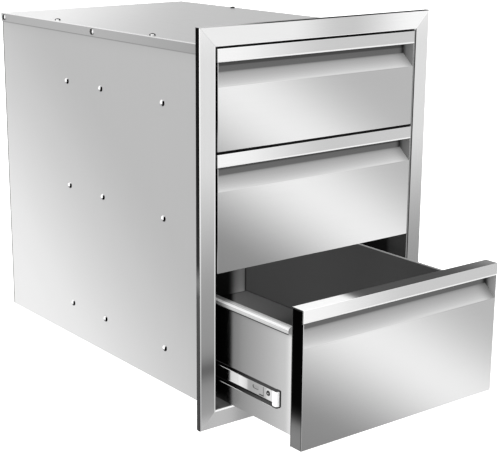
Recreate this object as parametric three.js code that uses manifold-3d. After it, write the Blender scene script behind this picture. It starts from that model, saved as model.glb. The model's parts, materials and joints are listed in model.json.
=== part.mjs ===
// Built-in drawer unit for an outdoor kitchen: a sheet-steel case behind a mitred
// trim frame, with three drawers of unequal height on ball-bearing slides.
// Millimetres, +Z up. The drawers face -Y and open along -Y; +X is to the right
// of a person who stands in front of the unit.
//
// Sizes below are written from the unit's own corner: x from the frame's left
// edge, y from the frame's front face backwards, z from the frame's lower edge.
// At the end everything is shifted, so that the origin lies on the underside of
// the case, in the middle of its width, in the plane in which the trim frame
// bears on the island's face: the middle of the sill of the cut-out.

import * as THREE from 'three';
import * as BufferGeometryUtils from 'three/addons/utils/BufferGeometryUtils.js';
import Module from 'manifold-3d';

const wasm = await Module();
wasm.setup();

// ---------------------------------------------------------------- dimensions
const WIDTH = 406;            // trim frame, outside (16 in)
const HEIGHT = 546;           // trim frame, outside (21.5 in)
const DEPTH = 584;            // frame face to the back of the case (23 in)

const FRAME_FACE = 25.4;      // width of the frame's face
const FRAME_DEPTH = 9.5;      // the frame's return, from its face to its seat
const FRAME_SHEET = 1.5;
const SHEET = 1.0;            // case sheet
const GAP = 0.3;              // between touching pieces
const STEP = 0.05;            // a weld's step, where one sheet runs into another

const CASE_X0 = FRAME_FACE;               // outside of the left side panel
const CASE_X1 = WIDTH - FRAME_FACE;
const CASE_Z0 = FRAME_FACE;               // underside of the case
const CASE_Z1 = HEIGHT - FRAME_FACE;      // top of the lid
const LID_FLANGE = 13;        // the lid's edge, folded down outside the sides

const FRONT_X0 = 28.4;        // drawer fronts, 3 mm clear of the frame
const FRONT_X1 = WIDTH - 28.4;
const FRONT_DEPTH = 21.5;
const FRONT_SHEET = 1.2;
const BAR_HEIGHT = 17.5;      // flat bar over the finger pull
const FOLD_DROP = 50.5;       // from the front's top to the fold of the pull
const LIP_RISE = 17.4;        // the pull's sloping lip climbs this over LIP_RUN
const LIP_RUN = 20;

const BOX_X0 = 39.7;          // outside of the drawer box wall
const BOX_X1 = WIDTH - 39.7;
const BOX_SHEET = 1.0;
const BOX_REAR = 546;         // back of the box, drawer shut
const ROLL_OUT = 8;           // rolled top edge: how far it stands out
const ROLL_DROP = 9.9;

const RAIL_FRONT = 52;        // slides, drawer shut
const RAIL_LENGTH = 494;
const RAIL_OUTER = 35;        // height of the cabinet rail
const RAIL_INNER = 23.5;      // height of the drawer rail
const CAGE_FRONT = 237.5;     // ball cages, drawer shut: they stay between both
const CAGE_LENGTH = 123;      // rails up to the end of the drawer's travel
const RIVET_Y = [121, 281, 377.6];   // the rivets of each cabinet rail

// Each drawer: lower and upper edge of its front, box, slide, and how far it
// stands open.
const DRAWERS = [
  { name: 'top', z0: 383.6, z1: 517.6, box0: 391.5, box1: 485.5, rail: 433, open: 0 },
  { name: 'middle', z0: 219.1, z1: 380.1, box0: 227.5, box1: 348.0, rail: 271, open: 0 },
  { name: 'bottom', z0: 28.4, z1: 215.6, box0: 36.2, box1: 184.2, rail: 80, open: 176 },
];

// Lid rivets: through the lid's top into the side's top flange, and through the
// lid's folded edge into the side panel.
const LID_TOP_RIVET_Y = [158, 418];
const LID_EDGE_RIVET_Y = [300, 573];
const LID_TOP_RIVET_X = 35;
const LID_EDGE_RIVET_Z = 514;

const RIVET_HEAD_R = 4.5;
const RIVET_HEAD_H = 2.6;
const RIVET_SHANK_R = 2.1;
const RIVET_HOLE_R = 2.5;

// ----------------------------------------------------------------- materials
const steel = (color, roughness) => new THREE.MeshStandardMaterial({ color, roughness, metalness: 1 });
const MAT = {
  frame: steel(0xd6d6d8, 0.22),
  front: steel(0xdcdcde, 0.25),
  case: steel(0xd2d2d4, 0.35),
  box: steel(0xbfbfc1, 0.4),
  rail: steel(0xc9ccce, 0.3),
  rivet: steel(0xe2e2e4, 0.2),
  cage: new THREE.MeshStandardMaterial({ color: 0xa9abac, roughness: 0.45, metalness: 0.9 }),
};

// ------------------------------------------------------------------- helpers
// A closed three.js geometry as a solid.
function solid(geometry) {
  const g = geometry.index ? geometry.toNonIndexed() : geometry.clone();
  for (const name of Object.keys(g.attributes)) if (name !== 'position') g.deleteAttribute(name);
  // Coordinates are held to a thousandth, so that faces meant to lie in one
  // plane do so exactly.
  const p = g.attributes.position.array;
  for (let i = 0; i < p.length; i++) p[i] = Math.round(p[i] * 1000) / 1000;
  const merged = BufferGeometryUtils.mergeVertices(g, 1e-4);
  return new wasm.Manifold(new wasm.Mesh({
    numProp: 3,
    vertProperties: new Float32Array(merged.attributes.position.array),
    triVerts: new Uint32Array(merged.index.array),
  }));
}

function geometryOf(manifold) {
  const mesh = manifold.getMesh();
  const g = new THREE.BufferGeometry();
  g.setAttribute('position', new THREE.BufferAttribute(new Float32Array(mesh.vertProperties), 3));
  g.setIndex(new THREE.BufferAttribute(new Uint32Array(mesh.triVerts), 1));
  g.computeVertexNormals();
  return g;
}

const join = (first, ...rest) => rest.reduce((a, b) => a.add(b), first);
const cut = (first, ...rest) => rest.reduce((a, b) => a.subtract(b), first);

function box(x0, x1, y0, y1, z0, z1) {
  const g = new THREE.BoxGeometry(x1 - x0, y1 - y0, z1 - z0);
  g.translate((x0 + x1) / 2, (y0 + y1) / 2, (z0 + z1) / 2);
  return solid(g);
}

const outline = (points) => new THREE.Shape(points.map(([u, v]) => new THREE.Vector2(u, v)));
const extrude = (points, depth) => new THREE.ExtrudeGeometry(outline(points), { depth, bevelEnabled: false, steps: 1 });

// A section given as [x, y] points, run along Z.
function alongZ(points, z0, z1) {
  const g = extrude(points, z1 - z0);
  g.translate(0, 0, z0);
  return solid(g);
}
// A section given as [x, z] points, run along Y.
function alongY(points, y0, y1) {
  const g = extrude(points, y1 - y0);
  g.applyMatrix4(new THREE.Matrix4().set(1, 0, 0, 0, 0, 0, -1, 0, 0, 1, 0, 0, 0, 0, 0, 1));
  g.translate(0, y1, 0);
  return solid(g);
}
// A section given as [y, z] points, run along X.
function alongX(points, x0, x1) {
  const g = extrude(points, x1 - x0);
  g.applyMatrix4(new THREE.Matrix4().set(0, 0, 1, 0, 1, 0, 0, 0, 0, 1, 0, 0, 0, 0, 0, 1));
  g.translate(x0, 0, 0);
  return solid(g);
}

// A turned shape from [radius, height] points, its axis pointing along `axis`.
function turned(profile, at, axis, segments = 10) {
  const g = new THREE.LatheGeometry(profile.map(([r, h]) => new THREE.Vector2(r, h)), segments);
  const q = new THREE.Quaternion().setFromUnitVectors(new THREE.Vector3(0, 1, 0), new THREE.Vector3(...axis));
  g.applyQuaternion(q);
  g.translate(...at);
  return solid(g);
}
const drill = (at, axis, radius, from, to) =>
  turned([[0, from], [radius, from], [radius, to], [0, to]], at, axis, 12);

// A domed rivet. Its head's flat underside is at height 0, its shank runs down
// to `-grip`, and a set tail of radius `tail` follows where it has one.
function rivet(at, axis, grip, tail = 0) {
  const head = [
    [RIVET_HEAD_R, 0],
    [RIVET_HEAD_R * 0.92, RIVET_HEAD_H * 0.42],
    [RIVET_HEAD_R * 0.58, RIVET_HEAD_H * 0.84],
    [0, RIVET_HEAD_H],
  ];
  const foot = tail
    ? [[0, -grip - 1.4], [tail, -grip - 1.4], [tail, -grip], [RIVET_SHANK_R, -grip]]
    : [[0, -grip], [RIVET_SHANK_R, -grip]];
  return turned([...foot, [RIVET_SHANK_R, 0], ...head], at, axis);
}

// The other hand of a piece, mirrored about the unit's middle plane.
function mirrored(geometry) {
  const g = geometry.clone();
  g.applyMatrix4(new THREE.Matrix4().set(-1, 0, 0, WIDTH, 0, 1, 0, 0, 0, 0, 1, 0, 0, 0, 0, 1));
  const index = g.index.array;
  for (let i = 0; i < index.length; i += 3) [index[i], index[i + 1]] = [index[i + 1], index[i]];
  g.computeVertexNormals();
  return g;
}

const unit = new THREE.Group();
unit.position.set(-WIDTH / 2, -FRAME_DEPTH, -CASE_Z0);

function place(name, geometry, material, parent = unit) {
  const mesh = new THREE.Mesh(geometry, material);
  mesh.name = name;
  parent.add(mesh);
  return mesh;
}
// A left piece and its mirrored right piece.
function placePair(prefix, suffix, geometry, material, parent = unit) {
  place(`${prefix}_left${suffix}`, geometry, material, parent);
  place(`${prefix}_right${suffix}`, mirrored(geometry), material, parent);
}

// ----------------------------------------------------------------- trim frame
// Rail section: u from the outer edge inwards, v from the face backwards. The
// outer edge is rounded over, returns to the wall and ends in a flat seat.
const SEAT = 9.5;
const frameSection = [
  [0, 1.7], [0.5, 0.5], [1.7, 0], [FRAME_FACE - 0.8, 0], [FRAME_FACE, 0.7], [FRAME_FACE, FRAME_SHEET],
  [FRAME_SHEET, FRAME_SHEET], [FRAME_SHEET, FRAME_DEPTH - FRAME_SHEET], [SEAT, FRAME_DEPTH - FRAME_SHEET],
  [SEAT, FRAME_DEPTH], [0, FRAME_DEPTH],
];
{
  // The mitres run at 45 degrees through the corners, each rail held back by
  // half the seam.
  const back = GAP * Math.SQRT1_2;
  const far = FRAME_FACE + 10;
  const stileKeep = alongY([
    [-5, -5 + back], [far, far + back], [far, HEIGHT - far - back], [-5, HEIGHT + 5 - back],
  ], -5, FRAME_DEPTH + 5);
  const stile = alongZ(frameSection, 0, HEIGHT).intersect(stileKeep);
  placePair('frame', '_stile', geometryOf(stile), MAT.frame);

  const railKeep = alongY([
    [-5 + back, -5], [WIDTH + 5 - back, -5], [WIDTH - far - back, far], [far + back, far],
  ], -5, FRAME_DEPTH + 5);
  const bottomRail = alongX(frameSection.map(([u, v]) => [v, u]), 0, WIDTH).intersect(railKeep);
  place('frame_bottom_rail', geometryOf(bottomRail), MAT.frame);

  const topKeep = alongY([
    [-5 + back, HEIGHT + 5], [far + back, HEIGHT - far], [WIDTH - far - back, HEIGHT - far], [WIDTH + 5 - back, HEIGHT + 5],
  ], -5, FRAME_DEPTH + 5);
  const topRail = alongX(frameSection.map(([u, v]) => [v, HEIGHT - u]), 0, WIDTH).intersect(topKeep);
  place('frame_top_rail', geometryOf(topRail), MAT.frame);
}

// ----------------------------------------------------------------------- case
const FLANGE_Y0 = FRAME_SHEET + GAP;          // front flanges, behind the frame's face
const FLANGE_Y1 = FLANGE_Y0 + SHEET;
const SIDE_TOP = CASE_Z1 - SHEET - GAP;       // top of the side panels, under the lid
const BACK_Y0 = DEPTH - 2 * SHEET - GAP;      // back panel, inside the lid's rear edge
const BACK_Y1 = BACK_Y0 + SHEET;
const SIDE_REAR = BACK_Y0 - GAP;
{
  // Side panel: a plate with a front flange turned out behind the frame, and
  // top and rear flanges turned in.
  const plan = [
    [10.2, FLANGE_Y0], [CASE_X0 + SHEET, FLANGE_Y0], [CASE_X0 + SHEET, SIDE_REAR - SHEET],
    [40, SIDE_REAR - SHEET], [40, SIDE_REAR], [CASE_X0, SIDE_REAR], [CASE_X0, FLANGE_Y1], [10.2, FLANGE_Y1],
  ];
  let side = join(
    alongZ(plan, CASE_Z0, SIDE_TOP),
    box(CASE_X0 + SHEET / 2, 44, 12, 560, SIDE_TOP - SHEET, SIDE_TOP - STEP),
  );
  for (const { rail } of DRAWERS) {
    for (const y of RIVET_Y) side = cut(side, drill([CASE_X0, y, rail], [1, 0, 0], RIVET_HOLE_R, -2, 3));
  }
  for (const y of LID_TOP_RIVET_Y) side = cut(side, drill([LID_TOP_RIVET_X, y, SIDE_TOP], [0, 0, 1], RIVET_HOLE_R, -3, 2));
  for (const y of LID_EDGE_RIVET_Y) side = cut(side, drill([CASE_X0, y, LID_EDGE_RIVET_Z], [1, 0, 0], RIVET_HOLE_R, -2, 3));
  placePair('case', '_side', geometryOf(side), MAT.case);

  // Lid: a plate whose side and rear edges fold down outside the panels, with a
  // front flange turned up behind the frame.
  const edgeX = CASE_X0 - GAP - SHEET;
  let lid = cut(
    box(edgeX, WIDTH - edgeX, FLANGE_Y0, DEPTH, CASE_Z1 - LID_FLANGE, CASE_Z1),
    box(edgeX + SHEET, WIDTH - edgeX - SHEET, -5, DEPTH - SHEET, CASE_Z1 - LID_FLANGE - 5, CASE_Z1 - SHEET),
    box(edgeX - 5, edgeX + 5, -5, FLANGE_Y1 + GAP, CASE_Z1 - LID_FLANGE - 5, CASE_Z1 - SHEET - STEP),
    box(WIDTH - edgeX - 5, WIDTH - edgeX + 5, -5, FLANGE_Y1 + GAP, CASE_Z1 - LID_FLANGE - 5, CASE_Z1 - SHEET - STEP),
  );
  lid = join(lid, box(12, WIDTH - 12, FLANGE_Y0 + STEP, FLANGE_Y1, CASE_Z1 - SHEET + STEP, CASE_Z1 + 15));
  for (const side of [0, 1]) {
    const x = (v) => (side ? WIDTH - v : v);
    for (const y of LID_TOP_RIVET_Y) lid = cut(lid, drill([x(LID_TOP_RIVET_X), y, CASE_Z1], [0, 0, 1], RIVET_HOLE_R, -3, 2));
    for (const y of LID_EDGE_RIVET_Y) lid = cut(lid, drill([x(edgeX), y, LID_EDGE_RIVET_Z], [1, 0, 0], RIVET_HOLE_R, -3, 3));
  }
  place('case_lid', geometryOf(lid), MAT.case);

  // Bottom: a tray between the sides, with its front edge turned down behind
  // the frame.
  const inX = CASE_X0 + SHEET + GAP;
  const bottom = join(
    cut(
      box(inX, WIDTH - inX, FLANGE_Y0, SIDE_REAR - SHEET - GAP, CASE_Z0, CASE_Z0 + 13),
      box(inX + SHEET, WIDTH - inX - SHEET, -5, DEPTH, CASE_Z0 + SHEET, CASE_Z0 + 20),
      box(inX - 5, WIDTH - inX + 5, -5, 8, CASE_Z0 + SHEET + STEP, CASE_Z0 + 20),
    ),
    box(inX + STEP, WIDTH - inX - STEP, FLANGE_Y0 + STEP, FLANGE_Y1, 10.5, CASE_Z0 + SHEET / 2),
  );
  place('case_bottom', geometryOf(bottom), MAT.case);

  place('case_back', geometryOf(box(CASE_X0, CASE_X1, BACK_Y0, BACK_Y1, CASE_Z0, SIDE_TOP)), MAT.case);

  // Lid rivets.
  const topRivet = (y) => rivet([LID_TOP_RIVET_X, y, CASE_Z1 + GAP], [0, 0, 1], 2 * SHEET + 3 * GAP, 3.2);
  const edgeRivet = (y) => rivet([edgeX - GAP, y, LID_EDGE_RIVET_Z], [-1, 0, 0], 2 * SHEET + 3 * GAP, 3.2);
  placePair('lid_top_rivet', '_front', geometryOf(topRivet(LID_TOP_RIVET_Y[0])), MAT.rivet);
  placePair('lid_top_rivet', '_rear', geometryOf(topRivet(LID_TOP_RIVET_Y[1])), MAT.rivet);
  placePair('lid_edge_rivet', '_front', geometryOf(edgeRivet(LID_EDGE_RIVET_Y[0])), MAT.rivet);
  placePair('lid_edge_rivet', '_rear', geometryOf(edgeRivet(LID_EDGE_RIVET_Y[1])), MAT.rivet);
}

// --------------------------------------------------------------------- slides
const CAB_X0 = CASE_X0 + SHEET + GAP;     // cabinet rail's back
const DRW_X1 = BOX_X0 - GAP;              // drawer rail's back, against the box
const RAIL_SHEET = 1.2;

// Cabinet rail: a channel open towards the drawer. The three rivets that clinch
// it to the side panel are one solid with it.
function cabinetRail(z) {
  const h = RAIL_OUTER / 2;
  const lip = CAB_X0 + 9.5;
  const section = [
    [CAB_X0, z - h], [lip, z - h], [lip, z - h + 2.2], [lip - 1.2, z - h + 2.2], [lip - 1.2, z - h + RAIL_SHEET],
    [CAB_X0 + RAIL_SHEET, z - h + RAIL_SHEET], [CAB_X0 + RAIL_SHEET, z + h - RAIL_SHEET],
    [lip - 1.2, z + h - RAIL_SHEET], [lip - 1.2, z + h - 2.2], [lip, z + h - 2.2], [lip, z + h], [CAB_X0, z + h],
  ];
  let rail = alongY(section, RAIL_FRONT, RAIL_FRONT + RAIL_LENGTH);
  for (const y of RIVET_Y) rail = join(rail, rivet([CASE_X0 - GAP, y, z], [-1, 0, 0], 2.4));
  return rail;
}

// Ball cage: a strip whose two arms hold the balls between the two rails.
function ballCage(z) {
  const x0 = CAB_X0 + RAIL_SHEET + 0.5;
  const x1 = x0 + 0.9;
  const section = [
    [x0, z - 15.2], [x1 + 5.1, z - 15.2], [x1 + 5.1, z - 13.0], [x1, z - 13.0], [x1, z + 13.0],
    [x1 + 5.1, z + 13.0], [x1 + 5.1, z + 15.2], [x0, z + 15.2],
  ];
  return alongY(section, CAGE_FRONT, CAGE_FRONT + CAGE_LENGTH);
}

// Drawer rail: a channel open outwards, closed at the front by a rounded stop.
// Its two studs go through the box wall and are one solid with it.
const STUD_Y = [78, 470];
function drawerRail(z) {
  const h = RAIL_INNER / 2;
  const x0 = DRW_X1 - 9.2;
  const y0 = RAIL_FRONT;
  let rail = cut(
    box(x0, DRW_X1, y0, y0 + RAIL_LENGTH, z - h, z + h),
    box(x0 - 5, DRW_X1 - RAIL_SHEET, y0 + 4, y0 + RAIL_LENGTH + 5, z - h + RAIL_SHEET, z + h - RAIL_SHEET),
    alongZ([[x0 - 5, y0 - 5], [x0 + 4, y0 - 5], [x0 + 2.6, y0], [x0 + 0.9, y0 + 0.7], [x0, y0 + 2.4], [x0 - 5, y0 + 3]], z - h - 5, z + h + 5),
  );
  // Release slot in the web.
  rail = cut(rail, box(DRW_X1 - 3, DRW_X1 + 2, 100, 110, z - 2, z + 2));
  for (const y of STUD_Y) {
    const grip = GAP + BOX_SHEET + GAP + 1.4;
    rail = join(rail, turned([
      [0, -0.6], [RIVET_SHANK_R, -0.6], [RIVET_SHANK_R, grip - 1.4], [4, grip - 1.4], [3.4, grip], [0, grip],
    ], [DRW_X1, y, z], [1, 0, 0]));
    // Its driven end shows in the channel.
    rail = join(rail, turned([
      [0, -0.4], [3.6, -0.4], [3.2, 1.2], [0, 1.2],
    ], [DRW_X1 - RAIL_SHEET, y, z], [-1, 0, 0]));
  }
  return rail;
}

// -------------------------------------------------------------------- drawers
function frontPanel(z0, z1) {
  const fold = z1 - FOLD_DROP;
  const s = FRONT_SHEET;
  const slope = LIP_RISE / LIP_RUN;
  const x0 = FRONT_X0 + s;
  const x1 = FRONT_X1 - s;
  // Face, lip, lower return and end plates are one folded sheet. The end plates
  // are set back under the bar.
  const outside = [
    [0, z0], [LIP_RUN, z0], [LIP_RUN, z1 - s - GAP], [s + GAP + 0.1, z1 - s - GAP],
    [s + GAP + 0.1, z1 - BAR_HEIGHT - GAP], [0, z1 - BAR_HEIGHT - GAP],
  ];
  const pull = [
    [-5, fold - 5 * slope], [LIP_RUN + 5, fold + (LIP_RUN + 5) * slope], [LIP_RUN + 5, z1 + 5], [-5, z1 + 5],
  ];
  const under = 1.6;    // the lip's sheet, measured upright
  const inside = [
    [s, z0 + s], [LIP_RUN + 5, z0 + s], [LIP_RUN + 5, fold + (LIP_RUN + 5) * slope - under], [s, fold + s * slope - under],
  ];
  return cut(alongX(outside, FRONT_X0, FRONT_X1), alongX(pull, x0, x1), alongX(inside, x0, x1));
}

function frontBar(z1) {
  const s = FRONT_SHEET;
  const low = z1 - BAR_HEIGHT;
  const clear = s + GAP + 0.1;
  // Top and front are one folded sheet; a hem between the end plates stiffens
  // the lower edge.
  const section = [
    [0, low], [6, low], [6, low + s], [s, low + s], [s, z1 - s], [FRONT_DEPTH, z1 - s], [FRONT_DEPTH, z1], [0.7, z1], [0, z1 - 0.7],
  ];
  return cut(
    alongX(section, FRONT_X0, FRONT_X1),
    box(FRONT_X0 - 5, FRONT_X0 + clear, s + STEP, 10, low - 5, low + 5),
    box(FRONT_X1 - clear, FRONT_X1 + 5, s + STEP, 10, low - 5, low + 5),
  );
}

function boxWall(z0, z1, railZ) {
  const x0 = BOX_X0 - ROLL_OUT;
  const section = [
    [BOX_X0, z0], [BOX_X0 + BOX_SHEET, z0], [BOX_X0 + BOX_SHEET, z1], [x0 + 0.8, z1], [x0, z1 - 0.8],
    [x0, z1 - ROLL_DROP], [x0 + 1, z1 - ROLL_DROP], [x0 + 1, z1 - 1], [BOX_X0, z1 - 1],
  ];
  let wall = cut(
    alongY(section, FRONT_DEPTH + GAP, BOX_REAR),
    box(x0 - 5, BOX_X0 - STEP, 0, 32, z1 - ROLL_DROP - 5, z1 + 5),
  );
  for (const y of STUD_Y) wall = cut(wall, drill([BOX_X0, y, railZ], [1, 0, 0], RIVET_HOLE_R, -2, 3));
  return wall;
}

for (const d of DRAWERS) {
  // The moving pieces of one drawer, in a group that slides along -Y. The ball
  // cages run half as far as the drawer.
  const drawer = new THREE.Group();
  drawer.position.y = -d.open;
  unit.add(drawer);
  const cages = new THREE.Group();
  cages.position.y = -d.open / 2;
  unit.add(cages);

  placePair(`${d.name}_cabinet_rail`, '', geometryOf(cabinetRail(d.rail)), MAT.rail);
  placePair(`${d.name}_ball_cage`, '', geometryOf(ballCage(d.rail)), MAT.cage, cages);
  placePair(`${d.name}_drawer_rail`, '', geometryOf(drawerRail(d.rail)), MAT.rail, drawer);

  place(`${d.name}_front_panel`, geometryOf(frontPanel(d.z0, d.z1)), MAT.front, drawer);
  place(`${d.name}_front_bar`, geometryOf(frontBar(d.z1)), MAT.front, drawer);
  place(`${d.name}_front_backing`, geometryOf(
    box(FRONT_X0, FRONT_X1, LIP_RUN + GAP, FRONT_DEPTH, d.z0, d.z1 - FRONT_SHEET - GAP),
  ), MAT.box, drawer);

  placePair(`${d.name}_box_wall`, '', geometryOf(boxWall(d.box0, d.box1, d.rail)), MAT.box, drawer);
  const inX = BOX_X0 + BOX_SHEET + GAP;
  place(`${d.name}_box_floor`, geometryOf(
    box(inX, WIDTH - inX, FRONT_DEPTH + GAP, BOX_REAR - BOX_SHEET - GAP, d.box0 + 1, d.box0 + 2),
  ), MAT.box, drawer);
  place(`${d.name}_box_back`, geometryOf(
    box(inX, WIDTH - inX, BOX_REAR - BOX_SHEET, BOX_REAR, d.box0, d.box1 - 6),
  ), MAT.box, drawer);
}

export default unit;
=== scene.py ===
import bpy
import bmesh
import json
import math
from mathutils import Matrix, Vector

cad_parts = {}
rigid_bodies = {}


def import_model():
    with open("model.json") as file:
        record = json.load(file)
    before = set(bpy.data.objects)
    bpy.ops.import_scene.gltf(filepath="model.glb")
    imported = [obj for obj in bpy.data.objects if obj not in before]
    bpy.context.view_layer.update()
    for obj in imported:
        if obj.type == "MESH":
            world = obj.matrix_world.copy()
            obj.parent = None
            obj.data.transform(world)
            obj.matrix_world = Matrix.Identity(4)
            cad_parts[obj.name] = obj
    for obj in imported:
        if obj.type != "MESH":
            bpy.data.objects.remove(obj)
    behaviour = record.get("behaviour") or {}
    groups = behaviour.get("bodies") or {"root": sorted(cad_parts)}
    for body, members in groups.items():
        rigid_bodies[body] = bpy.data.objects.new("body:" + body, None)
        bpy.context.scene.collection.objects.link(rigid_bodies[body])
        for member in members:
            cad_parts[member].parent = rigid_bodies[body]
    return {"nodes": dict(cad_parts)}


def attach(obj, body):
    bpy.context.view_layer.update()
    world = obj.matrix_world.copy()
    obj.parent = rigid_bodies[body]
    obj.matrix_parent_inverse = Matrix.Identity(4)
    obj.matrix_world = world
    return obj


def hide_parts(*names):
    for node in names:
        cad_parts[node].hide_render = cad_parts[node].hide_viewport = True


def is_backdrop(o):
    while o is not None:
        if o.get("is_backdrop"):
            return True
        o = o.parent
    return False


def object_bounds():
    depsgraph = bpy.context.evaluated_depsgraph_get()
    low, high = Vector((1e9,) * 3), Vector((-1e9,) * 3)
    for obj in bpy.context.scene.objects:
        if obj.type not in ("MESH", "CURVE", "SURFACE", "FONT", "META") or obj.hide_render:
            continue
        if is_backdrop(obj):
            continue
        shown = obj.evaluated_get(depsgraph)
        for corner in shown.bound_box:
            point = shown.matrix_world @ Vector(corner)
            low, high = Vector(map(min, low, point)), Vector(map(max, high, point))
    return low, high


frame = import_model()
cad_low, cad_high = (list(v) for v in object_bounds())
nodes = frame["nodes"]
scene = bpy.context.scene

# --------------------------------------------------------------- dimensions
# Millimetres from the unit's own corner: x from the frame's left edge, y from
# the frame's front face backwards, z from the frame's lower edge.
WIDTH, HEIGHT, DEPTH = 406.0, 546.0, 584.0
FRAME_FACE, FRAME_DEPTH, FRAME_SHEET = 25.4, 9.5, 1.5
SHEET, GAP = 1.0, 0.3
CASE_X0, CASE_Z0, CASE_Z1 = 25.4, 25.4, HEIGHT - 25.4
LID_FLANGE = 13.0
FRONT_X0, FRONT_X1 = 28.4, WIDTH - 28.4
FRONT_DEPTH, FRONT_SHEET, BAR_HEIGHT, FOLD_DROP = 21.5, 1.2, 17.5, 50.5
LIP_RISE, LIP_RUN = 17.4, 20.0
BOX_X0, BOX_REAR = 39.7, 546.0
ROLL_OUT, ROLL_DROP = 8.0, 9.9
RAIL_FRONT, RAIL_LENGTH, RAIL_OUTER, RAIL_INNER = 52.0, 494.0, 35.0, 23.5
RAIL_SHEET = 1.2
CAGE_FRONT, CAGE_LENGTH = 237.5, 123.0
RIVET_Y = (121.0, 281.0, 377.6)
STUD_Y = (78.0, 470.0)
DRAWERS = (
    ("top", 383.6, 517.6, 391.5, 485.5, 433.0, 0.0),
    ("middle", 219.1, 380.1, 227.5, 348.0, 271.0, 0.0),
    ("bottom", 28.4, 215.6, 36.2, 184.2, 80.0, 176.0),
)
LID_TOP_RIVET_Y, LID_EDGE_RIVET_Y = (158.0, 418.0), (300.0, 573.0)
LID_TOP_RIVET_X, LID_EDGE_RIVET_Z = 35.0, 514.0
OX, OY, OZ = WIDTH / 2, FRAME_DEPTH, CASE_Z0


def row(x, y, z):
    """A point of the unit's own corner system, in the row frame, in metres."""
    return Vector(((x - OX) / 1000, (y - OY) / 1000, (z - OZ) / 1000))


# ------------------------------------------------------------------- meshes
def fillet(points, arc=5):
    """A closed outline whose corners (u, v, radius) are rounded by arcs."""
    out = []
    n = len(points)
    for i, p in enumerate(points):
        r = p[2] if len(p) > 2 else 0.0
        here = Vector(p[:2])
        if r <= 0:
            out.append((here.x, here.y))
            continue
        a, b = Vector(points[i - 1][:2]) - here, Vector(points[(i + 1) % n][:2]) - here
        half = a.angle(b) / 2
        reach = min(r / math.tan(half), a.length * 0.98, b.length * 0.98)
        r = reach * math.tan(half)
        centre = here + (a.normalized() + b.normalized()).normalized() * (r / math.sin(half))
        s, e = here + a.normalized() * reach - centre, here + b.normalized() * reach - centre
        turn = s.angle_signed(e)
        for k in range(arc + 1):
            q = Vector(s)
            q.rotate(Matrix.Rotation(-turn * k / arc, 2))
            out.append((centre.x + q.x, centre.y + q.y))
    return out


def put(axis, u, v, t):
    """Section axes to the unit's axes: along x the section is (y, z), along y it is (x, z), along z it is (x, y)."""
    return {"x": (t, u, v), "y": (u, t, v), "z": (u, v, t)}[axis]


def prism(bm, section, axis, lo, hi, steps=1, taper=0.0):
    """Runs a closed section along an axis. lo and hi are numbers, or functions of (u, v) for an oblique end."""
    at = lambda f, u, v: f(u, v) if callable(f) else f
    rings = []
    for k in range(steps + 1):
        w = k / steps
        rings.append([
            bm.verts.new(row(*put(axis, u, v, at(lo, u, v) * (1 - w) + at(hi, u, v) * w))) for u, v in section
        ])
    n = len(section)
    made = []
    for a, b in zip(rings, rings[1:]):
        for i in range(n):
            j = (i + 1) % n
            made.append(bm.faces.new((a[i], a[j], b[j], b[i])))
    for ring in (rings[0], rings[-1]):
        cap = bm.faces.new(ring)
        cap.normal_update()
        made += bmesh.ops.triangulate(bm, faces=[cap], ngon_method="EAR_CLIP")["faces"]
    return made


def block(bm, x0, x1, y0, y1, z0, z1, r=0.0):
    """A sheet or bar with its long edges eased."""
    section = fillet([(y0, z0, r), (y1, z0, r), (y1, z1, r), (y0, z1, r)], 2)
    return prism(bm, section, "x", x0, x1)


def turned(bm, profile, at, axis, segments=24):
    """Turns (radius, height) points about an axis through a point."""
    z = Vector(axis).normalized()
    x = z.orthogonal().normalized()
    y = z.cross(x)
    rings = []
    for r, h in profile:
        if r < 1e-6:
            rings.append([bm.verts.new(row(*(Vector(at) + z * h)))])
        else:
            rings.append([
                bm.verts.new(row(*(Vector(at) + z * h + (x * math.cos(a) + y * math.sin(a)) * r)))
                for a in (2 * math.pi * k / segments for k in range(segments))
            ])
    for a, b in zip(rings, rings[1:]):
        for k in range(segments):
            m = (k + 1) % segments
            corners = [a[k % len(a)], a[m % len(a)], b[m % len(b)], b[k % len(b)]]
            unique = []
            for c in corners:
                if c not in unique:
                    unique.append(c)
            if len(unique) > 2:
                bm.faces.new(unique)
    for ring in (rings[0], rings[-1]):
        if len(ring) > 1:
            bm.faces.new(ring)


def ball(bm, at, r):
    made = bmesh.ops.create_icosphere(bm, subdivisions=2, radius=r / 1000)
    bmesh.ops.translate(bm, verts=made["verts"], vec=row(*at))


def finish_mesh(name, bm, material, body, replaces=(), crisp=32, mirror=False, close=True):
    """Turns the mesh code's result into a piece with clean normals."""
    if mirror:
        bmesh.ops.scale(bm, verts=bm.verts, vec=(-1, 1, 1))
    bmesh.ops.recalc_face_normals(bm, faces=bm.faces)
    mesh = bpy.data.meshes.new(name)
    bm.to_mesh(mesh)
    bm.free()
    mesh.shade_smooth()
    mesh.set_sharp_from_angle(angle=math.radians(crisp))
    piece = bpy.data.objects.new(name, mesh)
    scene.collection.objects.link(piece)
    mesh.materials.append(material)
    weighted = piece.modifiers.new("clean normals", "WEIGHTED_NORMAL")
    weighted.mode = "FACE_AREA"
    weighted.weight = 100
    weighted.keep_sharp = True
    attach(piece, body)
    if replaces:
        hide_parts(*replaces)
    return piece


def boolean(piece, cutter, operation="DIFFERENCE"):
    """Cuts a piece by another mesh and keeps the result as its mesh."""
    m = piece.modifiers.new("cut", "BOOLEAN")
    m.operation, m.solver, m.object = operation, "MANIFOLD", cutter
    bpy.context.view_layer.update()
    deps = bpy.context.evaluated_depsgraph_get()
    made = bpy.data.meshes.new_from_object(piece.evaluated_get(deps))
    piece.modifiers.remove(m)
    old = piece.data
    piece.data = made
    bpy.data.meshes.remove(old)
    bpy.data.objects.remove(cutter)
    return piece


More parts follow.
